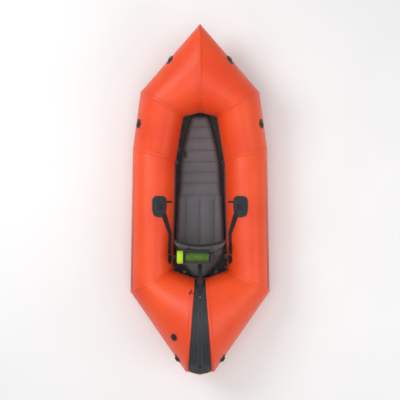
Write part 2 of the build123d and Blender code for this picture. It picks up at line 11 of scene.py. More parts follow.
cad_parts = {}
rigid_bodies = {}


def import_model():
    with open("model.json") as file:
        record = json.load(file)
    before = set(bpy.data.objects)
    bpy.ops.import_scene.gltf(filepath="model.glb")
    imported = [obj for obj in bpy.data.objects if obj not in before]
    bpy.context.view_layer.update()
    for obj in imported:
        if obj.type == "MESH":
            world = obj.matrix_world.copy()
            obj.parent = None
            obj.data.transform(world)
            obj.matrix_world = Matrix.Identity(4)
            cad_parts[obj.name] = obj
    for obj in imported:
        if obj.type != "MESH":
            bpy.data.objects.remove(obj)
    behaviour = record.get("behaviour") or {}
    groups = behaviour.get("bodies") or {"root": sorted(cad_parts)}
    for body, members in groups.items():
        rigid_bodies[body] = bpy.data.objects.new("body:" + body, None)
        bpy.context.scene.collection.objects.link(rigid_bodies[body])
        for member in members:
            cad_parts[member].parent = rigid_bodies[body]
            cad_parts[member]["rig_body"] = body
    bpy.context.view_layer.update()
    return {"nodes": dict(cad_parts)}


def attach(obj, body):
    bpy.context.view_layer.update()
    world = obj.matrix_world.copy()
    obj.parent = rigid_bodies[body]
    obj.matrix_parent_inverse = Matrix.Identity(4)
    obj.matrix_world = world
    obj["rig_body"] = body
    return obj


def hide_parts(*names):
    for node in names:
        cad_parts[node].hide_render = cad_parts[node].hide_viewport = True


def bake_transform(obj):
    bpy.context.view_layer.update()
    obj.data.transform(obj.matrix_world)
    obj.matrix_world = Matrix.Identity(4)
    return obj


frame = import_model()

nodes = frame["nodes"]
MM = 0.001
UP = Vector((0, 0, 1))
SIDES = (("_port", 1), ("_starboard", -1))


# ---- materials
def shader(name, **values):
    """New material with its node tree, its shader and object coordinates."""
    mat = bpy.data.materials.new(name)
    mat.use_nodes = True
    tree = mat.node_tree
    bsdf = tree.nodes["Principled BSDF"]
    for key, value in values.items():
        bsdf.inputs[key.replace("_", " ")].default_value = value
    place = tree.nodes.new("ShaderNodeTexCoord").outputs["Object"]
    return mat, tree, bsdf, place


def add_node(tree, kind, sockets, **settings):
    """New node; sockets are given values or other nodes' sockets, by name or number."""
    node = tree.nodes.new("ShaderNode" + kind)
    for key, value in settings.items():
        setattr(node, key, value)
    for key, value in sockets.items():
        if isinstance(value, bpy.types.NodeSocket):
            tree.links.new(value, node.inputs[key])
        else:
            node.inputs[key].default_value = value
    return node


def math_node(kind, a, b=0.0):
    return add_node(a.id_data, "Math", {0: a, 1: b}, operation=kind).outputs[0]


def noise_node(place, scale, detail=3.0, rough=0.5, stretch=None):
    tree = place.id_data
    if stretch:
        place = add_node(tree, "Mapping", {"Vector": place, "Scale": stretch}).outputs[0]
    node = add_node(tree, "TexNoise", {"Vector": place, "Scale": scale,
                                       "Detail": detail, "Roughness": rough})
    return node.outputs["Fac"]


def ramp(value, low, high, out_low=0.0, out_high=1.0):
    """Straight clamped ramp from low..high to out_low..out_high."""
    return add_node(value.id_data, "MapRange", {
        "Value": value, "From Min": low, "From Max": high, "To Min": out_low,
        "To Max": out_high,
    }, clamp=True).outputs["Result"]


def mixed(share, a, b):
    """Colour between a and b, each a colour or a socket. The share is a socket."""
    tree = share.id_data
    node = add_node(tree, "Mix", {}, data_type="RGBA")
    colours = [s for s in node.inputs if s.type == "RGBA"]
    for socket, value in zip((node.inputs["Factor"], *colours), (share, a, b)):
        if isinstance(value, bpy.types.NodeSocket):
            tree.links.new(value, socket)
        else:
            socket.default_value = (*value, 1.0) if isinstance(value, tuple) else value
    return next(s for s in node.outputs if s.type == "RGBA")


def weave_height(place, pitch, turn=0.0, across=(1.0, 1.0, 1.0)):
    """Threads crossing at a pitch, on a surface facing any way."""
    tree = place.id_data
    k = 2 * math.pi / pitch
    way = add_node(tree, "Mapping", {"Vector": place, "Rotation": (turn, turn, turn),
                                     "Scale": tuple(k * s for s in across)})
    wave = add_node(tree, "VectorMath", {0: way.outputs[0]}, operation="SINE")
    total = add_node(tree, "VectorMath", {0: wave.outputs[0], 1: (0.33, 0.33, 0.33)},
                     operation="DOT_PRODUCT")
    return total.outputs["Value"]


def bump(bsdf, layers):
    """Stacks bump layers of (height socket, metres, strength)."""
    tree = bsdf.id_data
    last = {}
    for height, depth, strength in layers:
        node = add_node(tree, "Bump", {"Height": height, "Distance": depth,
                                       "Strength": strength, **last})
        last = {"Normal": node.outputs["Normal"]}
    tree.links.new(last["Normal"], bsdf.inputs["Normal"])


def seam_crease_shade(colour, seams, share):
    """Colour with painted shade mixed in where the mesh's seam attribute says a seam
    runs, standing for the shade in the sewn crease.
    """
    if not seams:
        return colour
    seam = add_node(colour.id_data, "Attribute", {}, attribute_name="seam").outputs["Fac"]
    return mixed(ramp(seam, 0.1, 1.0, 0.0, share), colour, seams)


def between(value, low, high, soft):
    """1 between two values, fading over soft."""
    rise = ramp(value, low - soft, low + soft)
    fall = ramp(value, high - soft, high + soft, 1.0, 0.0)
    return math_node("MULTIPLY", rise, fall)


def coated_fabric(name, light, dark, rough=(0.34, 0.46), thread=0.0011, sheen=0.0,
                  seams=None, ticks=False, depth=0.00012, scuff=(0.9, 0.9, 0.9)):
    """Welded coated fabric: fine threads under a satin film, uneven and scuffed."""
    mat, tree, bsdf, place = shader(name, Coat_Weight=0.05, Coat_Roughness=0.35,
                                    Sheen_Weight=sheen, Specular_IOR_Level=0.36)
    broad = noise_node(place, 3.2, 3.0)
    small = noise_node(place, 42.0, 4.0)
    colour = mixed(ramp(broad, 0.35, 0.65), dark, light)
    colour = mixed(ramp(small, 0.3, 0.8, 0.0, 0.12), colour, dark)
    rub = noise_node(place, 9.0, 8.0, 0.72, (1.0, 3.0, 3.0))
    rub = ramp(rub, 0.63, 0.74, 0.0, 0.16)
    colour = mixed(rub, colour, scuff)
    # Painted shade: darkens the colour along the sewn creases.
    colour = seam_crease_shade(colour, seams, 0.55)
    if ticks:
        x, y, z = add_node(tree, "SeparateXYZ", {0: place}).outputs
        side = ramp(math_node("ABSOLUTE", y), 0.330, 0.331)
        band = between(z, 0.229, 0.268, 0.0006)
        reach = between(x, -0.575, 0.238, 0.0005)
        step = math_node("FRACT", math_node("DIVIDE", x, 0.0162))
        wide = ramp(x, -0.45, 0.24, 0.74, 0.10)
        bar = math_node("LESS_THAN", step, wide)
        mask = math_node("MULTIPLY", math_node("MULTIPLY", side, band),
                         math_node("MULTIPLY", reach, bar))
        worn = ramp(noise_node(place, 260.0, 3.0), 0.3, 0.55, 0.62, 0.92)
        colour = mixed(math_node("MULTIPLY", mask, worn), colour,
                       (0.060, 0.042, 0.046))
    tree.links.new(colour, bsdf.inputs["Base Color"])
    tree.links.new(ramp(small, 0.25, 0.75, *rough), bsdf.inputs["Roughness"])
    bump(bsdf, [
        (broad, 0.004, 0.10),
        (noise_node(place, 70.0, 3.0), 0.0006, 0.20),
        (weave_height(place, thread), depth, 0.55),
    ])
    return mat


def cloth(name, light, dark, thread=0.0014, depth=0.0003, rough=0.85, sheen=0.25,
          twill=False, seams=None):
    """Woven uncoated cloth with visible threads and loose fibres."""
    mat, tree, bsdf, place = shader(name, Roughness=rough, Sheen_Weight=sheen,
                                    Sheen_Roughness=0.5, Specular_IOR_Level=0.3)
    threads = weave_height(place, thread, 0.6 if twill else 0.0)
    broad = noise_node(place, 14.0, 4.0)
    fuzz = noise_node(place, 420.0, 3.0)
    colour = mixed(ramp(broad, 0.3, 0.7), dark, light)
    colour = mixed(ramp(threads, -0.6, 0.7, 0.34, 0.0), colour,
                   tuple(c * 0.35 for c in dark))
    colour = mixed(ramp(fuzz, 0.55, 0.8, 0.0, 0.22), colour,
                   tuple(min(1.0, c * 1.7 + 0.02) for c in light))
    # Painted shade: darkens the colour along the sewn creases.
    colour = seam_crease_shade(colour, seams, 0.6)
    tree.links.new(colour, bsdf.inputs["Base Color"])
    bump(bsdf, [
        (noise_node(place, 60.0, 3.0), 0.0008, 0.3),
        (fuzz, 0.0002, 0.4),
        (threads, depth, 0.8),
    ])
    return mat


def webbing(name, light, dark, along, pitch=0.0022):
    """Flat woven strap: ribs across, herringbone rows along."""
    mat, tree, bsdf, place = shader(name, Roughness=0.72, Sheen_Weight=0.15,
                                    Specular_IOR_Level=0.35)
    across = {"X": (1.0, 0.35, 0.35), "Y": (0.35, 1.0, 0.35)}[along]
    ribs = weave_height(place, pitch, 0.0, across)
    broad = noise_node(place, 30.0, 4.0)
    colour = mixed(ramp(broad, 0.3, 0.7), dark, light)
    colour = mixed(ramp(ribs, -0.5, 0.6, 0.45, 0.0), colour,
                   tuple(c * 0.3 for c in dark))
    tree.links.new(colour, bsdf.inputs["Base Color"])
    bump(bsdf, [(broad, 0.0006, 0.3), (ribs, 0.0005, 0.9)])
    return mat


def moulded(name, light, dark, rough=(0.36, 0.5), grain=900.0, metal=0.0):
    """Moulded plastic or cast metal with fine grain and handling marks."""
    mat, tree, bsdf, place = shader(name, Metallic=metal)
    fine = noise_node(place, grain, 2.0)
    worn = noise_node(place, 55.0, 6.0, 0.7)
    colour = mixed(ramp(worn, 0.35, 0.75), dark, light)
    tree.links.new(colour, bsdf.inputs["Base Color"])
    tree.links.new(ramp(worn, 0.3, 0.7, *rough), bsdf.inputs["Roughness"])
    bump(bsdf, [(worn, 0.0002, 0.25), (fine, 0.00006, 0.5)])
    return mat


def net(name, thread_colour, behind, pitch=0.0042):
    """Open mesh cloth: dark threads round small openings."""
    mat, tree, bsdf, place = shader(name, Roughness=0.8, Specular_IOR_Level=0.3)
    edge = add_node(tree, "TexVoronoi", {"Vector": place, "Scale": 1.0 / pitch,
                                         "Randomness": 0.12},
                    feature="DISTANCE_TO_EDGE").outputs["Distance"]
    opening = ramp(edge, 0.10, 0.16)
    shade = ramp(noise_node(place, 40.0, 4.0), 0.3, 0.7)
    inner = mixed(shade, tuple(c * 0.6 for c in behind), behind)
    colour = mixed(opening, thread_colour, inner)
    tree.links.new(colour, bsdf.inputs["Base Color"])
    bump(bsdf, [(ramp(edge, 0.0, 0.16, 1.0, 0.0), 0.0007, 0.9)])
    return mat


orange = coated_fabric(
    "orange_fabric", (0.90, 0.088, 0.016), (0.80, 0.060, 0.012), ticks=True,
    scuff=(0.95, 0.22, 0.10),
)
orange_tape = coated_fabric(
    "orange_tape", (0.88, 0.084, 0.016), (0.78, 0.058, 0.012), rough=(0.30, 0.42),
    thread=0.0016, scuff=(0.95, 0.22, 0.10),
)
black_fabric = coated_fabric(
    "black_fabric", (0.022, 0.022, 0.024), (0.012, 0.012, 0.013), rough=(0.42, 0.58),
    thread=0.0016, depth=0.0003, scuff=(0.07, 0.07, 0.07),
)
black_tape = coated_fabric(
    "black_tape", (0.026, 0.026, 0.028), (0.016, 0.016, 0.017), rough=(0.36, 0.5),
    thread=0.0013, scuff=(0.07, 0.07, 0.07),
)
zip_cloth = coated_fabric(
    "zip_cloth", (0.030, 0.033, 0.037), (0.018, 0.020, 0.023), rough=(0.40, 0.55),
    thread=0.0018, depth=0.0003, scuff=(0.08, 0.08, 0.085),
)
patch_rubber = coated_fabric(
    "patch_rubber", (0.030, 0.036, 0.040), (0.018, 0.022, 0.025), rough=(0.40, 0.55),
    thread=0.0020, depth=0.0003, scuff=(0.10, 0.11, 0.11),
)
# The seams colour here is painted shade for the mat's sewn creases.
grey_mat = coated_fabric(
    "grey_mat", (0.150, 0.143, 0.155), (0.112, 0.108, 0.118), rough=(0.52, 0.66),
    thread=0.0016, depth=0.0003, sheen=0.1, seams=(0.045, 0.044, 0.048),
    scuff=(0.22, 0.21, 0.22),
)
# The seams colour here is painted shade for the backrest's sewn creases.
grey_cloth = cloth(
    "grey_cloth", (0.105, 0.098, 0.108), (0.072, 0.068, 0.075),
    seams=(0.02, 0.02, 0.022),
)
# The seams colour here is painted shade for the thigh pads' sewn creases.
neoprene = cloth(
    "neoprene", (0.032, 0.042, 0.048), (0.020, 0.027, 0.031), thread=0.0019,
    depth=0.00025, seams=(0.008, 0.009, 0.010),
)
binding = webbing("binding", (0.016, 0.016, 0.018), (0.009, 0.009, 0.010), "X", 0.0018)
strap_web = webbing("strap_web", (0.020, 0.022, 0.028), (0.011, 0.012, 0.016), "X")
strip_web = webbing(
    "strip_web", (0.022, 0.026, 0.040), (0.012, 0.014, 0.022), "X", 0.0030,
)
lime = cloth(
    "lime_cloth", (0.62, 0.90, 0.030), (0.50, 0.78, 0.018), thread=0.0012, rough=0.6,
    sheen=0.1,
)
olive = cloth(
    "olive_cloth", (0.16, 0.30, 0.035), (0.10, 0.21, 0.022), thread=0.0012, rough=0.7,
)
window_net = net("window_net", (0.010, 0.011, 0.010), (0.17, 0.33, 0.040))
pocket_cloth = cloth(
    "pocket_cloth", (0.020, 0.021, 0.023), (0.011, 0.012, 0.013), thread=0.0016,
)
black_plastic = moulded("black_plastic", (0.030, 0.030, 0.032), (0.016, 0.016, 0.017))
ring_plastic = moulded(
    "ring_plastic", (0.050, 0.050, 0.054), (0.024, 0.024, 0.026), rough=(0.24, 0.40),
)
slider_metal = moulded(
    "slider_metal", (0.42, 0.42, 0.43), (0.25, 0.25, 0.26), rough=(0.28, 0.42),
    metal=1.0,
)
pull_red = moulded(
    "pull_red", (0.085, 0.010, 0.008), (0.045, 0.006, 0.005), rough=(0.45, 0.6),
)
coil = moulded(
    "zip_coil", (0.012, 0.012, 0.013), (0.007, 0.007, 0.008), rough=(0.38, 0.5),
)
thread_light = cloth(
    "thread_light", (0.20, 0.20, 0.21), (0.12, 0.12, 0.13), thread=0.0005, depth=0.0001,
)


# ---- mesh helpers
def linked(name, data):
    """New object in the scene; data is its mesh, light or camera, or a bmesh."""
    if isinstance(data, bmesh.types.BMesh):
        mesh = bpy.data.meshes.new(name)
        data.to_mesh(mesh)
        data = mesh
    obj = bpy.data.objects.new(name, data)
    bpy.context.scene.collection.objects.link(obj)
    return obj


def edited(mesh, change):
    """Puts a mesh through a change that works on a bmesh."""
    bm = bmesh.new()
    bm.from_mesh(mesh)
    change(bm)
    bm.to_mesh(mesh)
    bm.free()


def faces_outward(bm):
    bmesh.ops.recalc_face_normals(bm, faces=bm.faces)


def bisected(bm, point, normal, geom=None):
    bmesh.ops.bisect_plane(bm, geom=geom or [*bm.verts, *bm.edges, *bm.faces],
                           plane_co=point, plane_no=normal)


def ring_faces(rings, sides, base=0):
    """Quads between closed rings of points."""
    made = []
    for i in range(rings - 1):
        for q in range(sides):
            a = base + i * sides + q
            b = base + i * sides + (q + 1) % sides
            made.append((a, b, b + sides, a + sides))
    return made


def make(name, verts, faces, material, body, slot=None):
    mesh = bpy.data.meshes.new(name)
    mesh.from_pydata([tuple(v) for v in verts], [], faces)
    mesh.validate()
    return finish_piece(linked(name, mesh), material, body, slot)


def finish_piece(obj, material, body, slot=None):
    """Gives a piece its only material and, where one is given, its body. The slot is not
    used.
    """
    obj.data.materials.clear()
    obj.data.materials.append(material)
    obj.data.shade_smooth()
    if body:
        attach(obj, body)
    return obj


def outer_shells(*names):
    """One bmesh of the nodes' outer surfaces, without inner walls."""
    whole = bmesh.new()
    for name in names:
        whole.from_mesh(nodes[name].data)
    bmesh.ops.remove_doubles(whole, verts=whole.verts, dist=3e-6)
    whole.verts.index_update()
    seen = set()
    inner = []
    for start in whole.verts:
        if start in seen:
            continue
        seen.add(start)
        island = [start]
        for vert in island:
            found = [edge.other_vert(vert) for edge in vert.link_edges]
            found = [other for other in found if other not in seen]
            seen.update(found)
            island += found
        faces = {face for vert in island for face in vert.link_faces}
        volume = sum(
            f.verts[0].co.dot(f.verts[i].co.cross(f.verts[i + 1].co))
            for f in faces for i in range(1, len(f.verts) - 1)
        )
        if volume < 0:
            inner += island
    bmesh.ops.delete(whole, geom=inner, context="VERTS")
    return whole


def vectors(items, key):
    flat = np.zeros(len(items) * 3, np.float32)
    items.foreach_get(key, flat)
    return flat.reshape(-1, 3).astype(float)


def coords(obj):
    return vectors(obj.data.vertices, "co")


def vertex_normals(obj):
    return vectors(obj.data.vertex_normals, "vector")


def set_coords(obj, points):
    obj.data.vertices.foreach_set("co", points.astype(np.float32).ravel())
    obj.data.update()


def rounded_copy(name, node, width, material, slot="webbing", cuts=None):
    """Copy of a CAD piece with its sharp edges softened, standing for the node."""
    bm = bmesh.new()
    bm.from_mesh(nodes[node].data)
    bmesh.ops.remove_doubles(bm, verts=bm.verts, dist=3e-6)
    sharp = [
        e for e in bm.edges
        if len(e.link_faces) == 2 and e.calc_face_angle(0.0) > math.radians(38)
    ]
    bmesh.ops.bevel(bm, geom=sharp, offset=width, segments=2, profile=0.5,
                    affect="EDGES", clamp_overlap=True)
    if cuts:
        start, end, count = cuts
        for i in range(1, count):
            bisected(bm, start.lerp(end, i / count), (end - start).normalized())
    obj = linked(name, bm)
    finish_piece(obj, material, None if cuts else nodes[node]["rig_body"], slot)
    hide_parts(node)
    return obj


def inflate(obj, cap, pressure, pinned, frames=20):
    """Blows a closed mesh up with Cloth, each point moving no further than cap
    and the pinned ones not at all."""
    scene = bpy.context.scene
    start = coords(obj)
    mod = obj.modifiers.new("Cloth", "CLOTH")
    settings = mod.settings
    for key, value in dict(
        quality=4, mass=0.3, tension_stiffness=12, compression_stiffness=12,
        shear_stiffness=4, bending_stiffness=0.4, use_pressure=True,
        uniform_pressure_force=pressure,
    ).items():
        setattr(settings, key, value)
    settings.effector_weights.gravity = 0.0
    group = obj.vertex_groups.new(name="pin")
    group.add([int(i) for i in np.nonzero(pinned)[0]], 1.0, "REPLACE")
    settings.vertex_group_mass = "pin"
    scene.frame_start = 1
    scene.frame_end = frames
    mod.point_cache.frame_start = 1
    mod.point_cache.frame_end = frames
    for number in range(1, frames + 1):
        scene.frame_set(number)
    depsgraph = bpy.context.evaluated_depsgraph_get()
    blown = obj.evaluated_get(depsgraph)
    moved = coords(blown)
    obj.modifiers.clear()
    scene.frame_set(1)
    delta = moved - start
    size = np.linalg.norm(delta, axis=1, keepdims=True)
    delta *= np.minimum(1.0, cap / np.maximum(size, 1e-9))
    set_coords(obj, start + delta)
    obj.vertex_groups.clear()


def round_corners(outline, radius, steps=5):
    """Outline with each corner turned into a short curve."""
    made = []
    count = len(outline)
    for i, here in enumerate(outline):
        here = np.array(here, float)
        before = np.array(outline[i - 1], float) - here
        after = np.array(outline[(i + 1) % count], float) - here
        cut_a = min(radius, 0.45 * np.linalg.norm(before))
        cut_b = min(radius, 0.45 * np.linalg.norm(after))
        a = here + before / np.linalg.norm(before) * cut_a
        b = here + after / np.linalg.norm(after) * cut_b
        for k in range(steps + 1):
            t = k / steps
            made.append(tuple((1 - t) ** 2 * a + 2 * t * (1 - t) * here + t * t * b))
    return made


def edge_distance(points, outline):
    """Distance from each point to a closed outline."""
    best = np.full(len(points), 1e9)
    for i, a in enumerate(outline):
        a = np.array(a, float)
        b = np.array(outline[(i + 1) % len(outline)], float)
        way = b - a
        share = np.clip(((points - a) @ way) / max(way @ way, 1e-12), 0, 1)
        best = np.minimum(best, np.linalg.norm(points - a - share[:, None] * way, axis=1))
    return best


def interval(outline, u):
    """Lowest and highest v of an outline at one u."""
    found = []
    for i, (u0, v0) in enumerate(outline):
        u1, v1 = outline[(i + 1) % len(outline)]
        if u0 == u1:
            if abs(u - u0) < 1e-9:
                found += [v0, v1]
        elif min(u0, u1) <= u <= max(u0, u1):
            found.append(v0 + (v1 - v0) * (u - u0) / (u1 - u0))
    return min(found), max(found)


def pad(name, outline, rows, columns, half, place, material, body, slot, seam):
    """Closed padded form over an outline. half(points, distance) gives the two
    half thicknesses, place(points, w) puts them in space, and seam(points) is 1 on
    a sewn line and fades to 0 beside it."""
    us = [p[0] for p in outline]
    low, high = min(us), max(us)
    t = np.linspace(0, 1, rows + 1)
    t = 0.82 * t + 0.18 * (1 - np.cos(math.pi * t)) / 2
    grid = []
    for u in low + (high - low) * t:
        v0, v1 = interval(outline, min(max(u, low + 1e-7), high - 1e-7))
        s = np.linspace(0, 1, columns + 1)
        s = 0.55 * s + 0.45 * (1 - np.cos(math.pi * s)) / 2
        grid += [(u, v0 + (v1 - v0) * k) for k in s]
    grid = np.array(grid)
    away = edge_distance(grid, outline)
    away[:columns + 1] = 0
    away[-columns - 1:] = 0
    front, back = half(grid, away)
    verts = np.vstack([place(grid, front), place(grid, -back)])
    count = len(grid)
    faces = []
    for i in range(rows):
        for j in range(columns):
            a = i * (columns + 1) + j
            b = a + columns + 1
            faces.append((a, b, b + 1, a + 1))
            faces.append((a + count, a + 1 + count, b + 1 + count, b + count))
    obj = make(name, verts, faces, material, None)
    # The seam attribute marks the sewn lines. It pins the backrest, and materials with a
    # seams colour paint shade along it.
    layer = obj.data.attributes.new("seam", "FLOAT", "POINT")
    values = seam(grid)
    layer.data.foreach_set("value", np.concatenate([values, values]).astype(np.float32))

    def closed(bm):
        bmesh.ops.remove_doubles(bm, verts=bm.verts, dist=2e-5)
        faces_outward(bm)

    edited(obj.data, closed)
    return finish_piece(obj, material, body, slot)


def rounding(away, edge):
    """0 at an edge to 1 past the edge radius, on a round curve."""
    return (1 - (1 - np.clip(away / edge, 0, 1)) ** 2) ** 0.5


def walk(sizes, left):
    """Segment, and share of it, at a distance along a line of segments."""
    i = 0
    while i < len(sizes) - 1 and left > sizes[i]:
        left -= sizes[i]
        i += 1
    return i, left / max(sizes[i], 1e-9)


def resampled(points, step, closed=False):
    """Points at an even step along a line."""
    points = [Vector(p) for p in points]
    if closed:
        points = points + [points[0]]
    sizes = [(b - a).length for a, b in zip(points, points[1:])]
    total = sum(sizes)
    count = max(2, int(total / step))
    made = []
    for k in range(count + (0 if closed else 1)):
        i, share = walk(sizes, total * k / count)
        made.append(points[i].lerp(points[i + 1], share))
    return made


def stitches(name, lines, body, pitch, thick=0.00042):
    """Rows of sewn stitches; each line is a list of (point, surface normal)."""
    verts = []
    faces = []
    for line in lines:
        points = [Vector(p) for p, _ in line]
        ups = [Vector(n).normalized() for _, n in line]
        sizes = [(b - a).length for a, b in zip(points, points[1:])]
        total = sum(sizes)
        count = max(1, int(total / pitch))
        for k in range(count):
            ends = []
            for t in (k + 0.14, k + 0.86):
                i, share = walk(sizes, total * t / count)
                ends.append((points[i].lerp(points[i + 1], share),
                             ups[i].lerp(ups[i + 1], share).normalized()))
            (a, up), (b, _) = ends
            way = (b - a).normalized()
            side = way.cross(up).normalized()
            base = len(verts)
            for t, size, lift in ((0.0, 0.35, -0.5), (0.2, 1.0, 0.35), (0.5, 1.1, 0.7),
                                  (0.8, 1.0, 0.35), (1.0, 0.35, -0.5)):
                mid = a.lerp(b, t) + up * lift * thick
                for q in range(6):
                    turn = math.pi * q / 3
                    verts.append(mid + (side * math.cos(turn) + up * math.sin(turn))
                                 * thick * size)
            faces += ring_faces(5, 6, base)
            faces.append(tuple(base + q for q in reversed(range(6))))
            faces.append(tuple(base + 24 + q for q in range(6)))
    return make(name, verts, faces, thread_light, body)


def flat_strip(name, rows, material, body, slot):
    """Thin strip from rows of points, given as (point, lift direction, lift)."""
    width = len(rows[0])
    verts = [p + n * h for row in rows for p, n, h in row]
    faces = [(a, a + 1, a + width + 1, a + width) for i in range(len(rows) - 1)
             for a in range(i * width, (i + 1) * width - 1)]
    return make(name, verts, faces, material, body, slot)


# ---- the hull
SHEET = 0.040  # underside of the floor sheet
RISE_FROM, RISE = 0.225, 50.0 / 435.0  # the floor rises from here to the bow
SHEET_TOP = 0.003  # over the sheet's underside, clear of its upper face
RAY_TURN = 0.37  # share of a step that keeps rays off the panels' own vertex lines
# Mitre: its inner and outer plan points, and x and z of its centre.
mitres = {
    "bow": (((0.568, 0.0), (1.120, 0.0)), (0.800, 0.270)),
    "shoulder": (((0.538, 0.109), (0.698, 0.385)), (0.618, 0.236)),
    "forward": (((0.263, 0.156), (0.330, 0.440)), (0.2965, 0.170)),
    "aft": (((-0.457, 0.177), (-0.597, 0.456)), (-0.527, 0.177)),
    "gusset": (((-0.505, 0.040), (-1.096, 0.092)), (-0.790, 0.230)),
}
# Panel: the mitres at its ends, and the rows and columns of its grid.
panel_mitres = {
    "bow_tube": (("bow", "shoulder"), (64, 200)),
    "forward_tube": (("shoulder", "forward"), (46, 160)),
    "side_tube": (("forward", "aft"), (110, 160)),
    "stern_tube": (("aft", "gusset"), (64, 200)),
    "stern_gusset": (("gusset",), (26, 220)),
}


def floor_height(x):
    return SHEET + np.maximum(0.0, x - RISE_FROM) * RISE


def mitre_frame(key, side=1):
    """Centre, run away from the cockpit and normal of a mitre's upright plane."""
    (inner, outer), (x, z) = mitres[key]
    run = Vector((outer[0] - inner[0], outer[1] - inner[1], 0)).normalized()
    share = (x - inner[0]) / (outer[0] - inner[0])
    y = inner[1] + (outer[1] - inner[1]) * share
    flip = Vector((1, side, 1))
    return Vector((x, y, z)) * flip, run * flip, run.cross(UP) * flip


def creased(points, normals, keys, side):
    """Draws cloth in near its welded seams, in short folds square to them."""
    depth = np.zeros(len(points))
    for key in keys:
        centre, run, normal = (np.array(v) for v in mitre_frame(key, side))
        away = np.abs((points - centre) @ normal)
        turn = np.arctan2(points[:, 2] - centre[2], (points - centre) @ run)
        inner = 0.35 + 0.65 * np.clip(-np.cos(turn), 0, 1)
        wave = (np.sin(turn * 31 + 1.3 * np.sin(turn * 5)) * 0.5
                + np.sin(turn * 19 + 2.0) * 0.3 + np.sin(turn * 53 + 0.7) * 0.2)
        fold = np.clip(0.5 + 0.5 * wave, 0, 1)
        depth += 0.0024 * inner * fold * np.exp(-away / (0.020 + 0.022 * inner))
        depth += 0.0011 * np.exp(-away / 0.006)
    broad = np.array([noise.noise(Vector(p) * 6.0) for p in points])
    depth += 0.0005 * (0.5 + 0.5 * broad) + 0.0002
    return points - normals * depth[:, None]


def panel_grid(node, keys, side, rows, columns):
    """Outer wall of a tube panel as an even grid, turned in at both mitres."""
    tree = hull_trees[node]
    flips = (side, -side if keys[0] == keys[-1] else side)
    (c0, r0, _), (c1, r1, _) = (mitre_frame(k, f) for k, f in zip(keys, flips))
    shares = [0.0, 0.0014, 0.006]
    shares += [0.012 + (1 - 0.024) * i / rows for i in range(rows + 1)]
    shares += [0.994, 0.9986, 1.0]
    verts = []
    for t in shares:
        centre = c0.lerp(c1, t)
        run = r0.lerp(r1, t).normalized()
        sunk = t in (0.0, 1.0)
        inside = min(max(t, 0.0014), 0.9986)
        step = 0.003 if t < 0.5 else -0.003
        for q in range(columns):
            turn = 2 * math.pi * (q + RAY_TURN) / columns
            way = run * math.cos(turn) + UP * math.sin(turn)
            hit = (None,)
            tries = 0
            while hit[0] is None and tries < 14:
                probe = c0.lerp(c1, inside + step * tries)
                hit = tree.ray_cast(probe + way * 0.6, -way, 0.6)
                tries += 1
            reach = (hit[0] - probe).length if hit[0] is not None else reach
            verts.append(centre + way * (reach - (0.009 if sunk else 0.0)))
    obj = make("hull_" + node, verts, ring_faces(len(shares), columns), orange, None)
    edited(obj.data, faces_outward)
    centres = np.repeat([list(c0.lerp(c1, t)) for t in shares], columns, axis=0)
    points = coords(obj)
    if ((points - centres) * vertex_normals(obj)).sum() < 0:
        obj.data.flip_normals()
    return obj


hull_trees = {}
panels = {}
for kind, (keys, size) in panel_mitres.items():
    sides = [("", 1)] if kind == "stern_gusset" else SIDES
    for tail, side in sides:
        node = kind + tail
        hull_trees[node] = BVHTree.FromBMesh(outer_shells(node))
        both = keys if len(keys) == 2 else keys * 2
        obj = panel_grid(node, both, side, *size)
        normals = vertex_normals(obj)
        points = creased(coords(obj), normals, keys, side)
        if kind == "stern_gusset":
            points = creased(points, normals, keys, -1)
        set_coords(obj, points)
        finish_piece(obj, orange, "hull", "tpu_orange")
        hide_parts(node)
        panels[node] = obj

# The valve's hole in the port stern panel, cut as a polygon.
VALVE_HOLE = 0.0182
valve_at = Vector((-0.864413, 0.163484, 0.420847))
valve_up = Vector((-0.275759, 0.65477, 0.703728)).normalized()
side_way = valve_up.orthogonal().normalized()
other_way = valve_up.cross(side_way)
spokes = [side_way * math.cos(turn) + other_way * math.sin(turn)
          for turn in (2 * math.pi * i / 20 for i in range(20))]


def in_valve_hole(spot):
    way = spot - valve_at
    if way.length > 0.03:
        return False
    way -= valve_up * way.dot(valve_up)
    return all(way.dot(out) < VALVE_HOLE for out in spokes)


def cut_valve_hole(bm):
    for out in spokes:
        close = [v for v in bm.verts if (v.co - valve_at).length < 0.034]
        faces = {f for v in close for f in v.link_faces}
        edges = {e for f in faces for e in f.edges}
        verts = {v for f in faces for v in f.verts}
        bisected(bm, valve_at + out * VALVE_HOLE, out, [*verts, *edges, *faces])
    gone = [f for f in bm.faces if in_valve_hole(f.calc_center_median())]
    bmesh.ops.delete(bm, geom=gone, context="FACES")


edited(panels["stern_tube_port"].data, cut_valve_hole)

# Plan outlines of the covers' outer edge and of the floor well between them, in mm.
COVER_EDGE = [
    (896, 0), (679, 344), (303, 400), (-558, 414), (-828, 66),
    (-828, -66), (-558, -414), (303, -400), (679, -344),
]
WELL_EDGE = [
    (648, 0), (570, 170), (0, 213), (-465, 229), (-597, 40),
    (-597, -40), (-465, -229), (0, -213), (570, -170),
]
COVER_TOP = 0.2  # no cover rises above this, and its faces point less up than this
TUBE_WAIST = 0.26


def inside(outline, x, y):
    found = False
    for i, (x0, y0) in enumerate(outline):
        x1, y1 = outline[i - 1]
        if (y0 > y) != (y1 > y) and x < (x1 - x0) * (y - y0) / (y1 - y0) + x0:
            found = not found
    return found


def lower_half(bm):
    far = [v for v in bm.verts if v.co.z > TUBE_WAIST]
    bmesh.ops.delete(bm, geom=far, context="VERTS")


